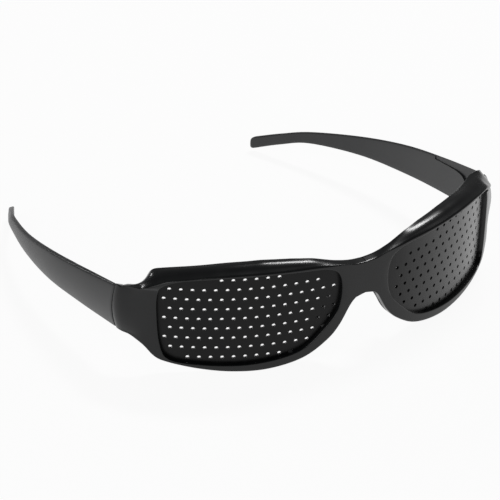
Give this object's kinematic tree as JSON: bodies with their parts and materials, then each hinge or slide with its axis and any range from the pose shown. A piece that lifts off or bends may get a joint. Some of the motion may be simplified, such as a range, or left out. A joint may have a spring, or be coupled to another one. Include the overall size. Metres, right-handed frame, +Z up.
{
  "type": "pinhole glasses",
  "caption": "Wrap-around glasses with perforated opaque plates in place of lenses, moulded nose pads and folding temples on small metal hinges.",
  "frame": {"origin": "under the middle of the glasses, on the surface that the rims and the temple tips stand on", "axes": "the front faces -Y, the temples run to +Y when open, +Z is up and -X is the wearer's right"},
  "size_m": [0.1432, 0.1498, 0.038],
  "materials": {
    "front_plastic": "moulded, polished brow, satin face",
    "temple_plastic": "moulded, satin outside",
    "plate_plastic": "fine matte grain",
    "hinge_steel": "pressed and tumbled",
    "screw_steel": "turned"
  },
  "bodies": {
    "front": {"front_frame": "front_plastic", "right_lens": "plate_plastic", "right_hinge_frame_leaf": "hinge_steel", "right_hinge_screw": "screw_steel", "right_frame_leaf_screws": "screw_steel", "left_lens": "plate_plastic", "left_hinge_frame_leaf": "hinge_steel", "left_hinge_screw": "screw_steel", "left_frame_leaf_screws": "screw_steel"},
    "right_temple_arm": {"right_temple": "temple_plastic", "right_hinge_temple_leaf": "hinge_steel", "right_temple_leaf_screws": "screw_steel"},
    "left_temple_arm": {"left_temple": "temple_plastic", "left_hinge_temple_leaf": "hinge_steel", "left_temple_leaf_screws": "screw_steel"}
  },
  "joints": [
    {"name": "right_temple_fold", "type": "hinge", "parent": "front", "child": "right_temple_arm", "pos_m": [-0.06415, -0.03738, 0.0211], "axis": [0, 0, -1], "range_deg": [0, 88]},
    {"name": "left_temple_fold", "type": "hinge", "parent": "front", "child": "left_temple_arm", "pos_m": [0.06415, -0.03738, 0.0211], "axis": [0, 0, 1], "range_deg": [0, 80]}
  ]
}
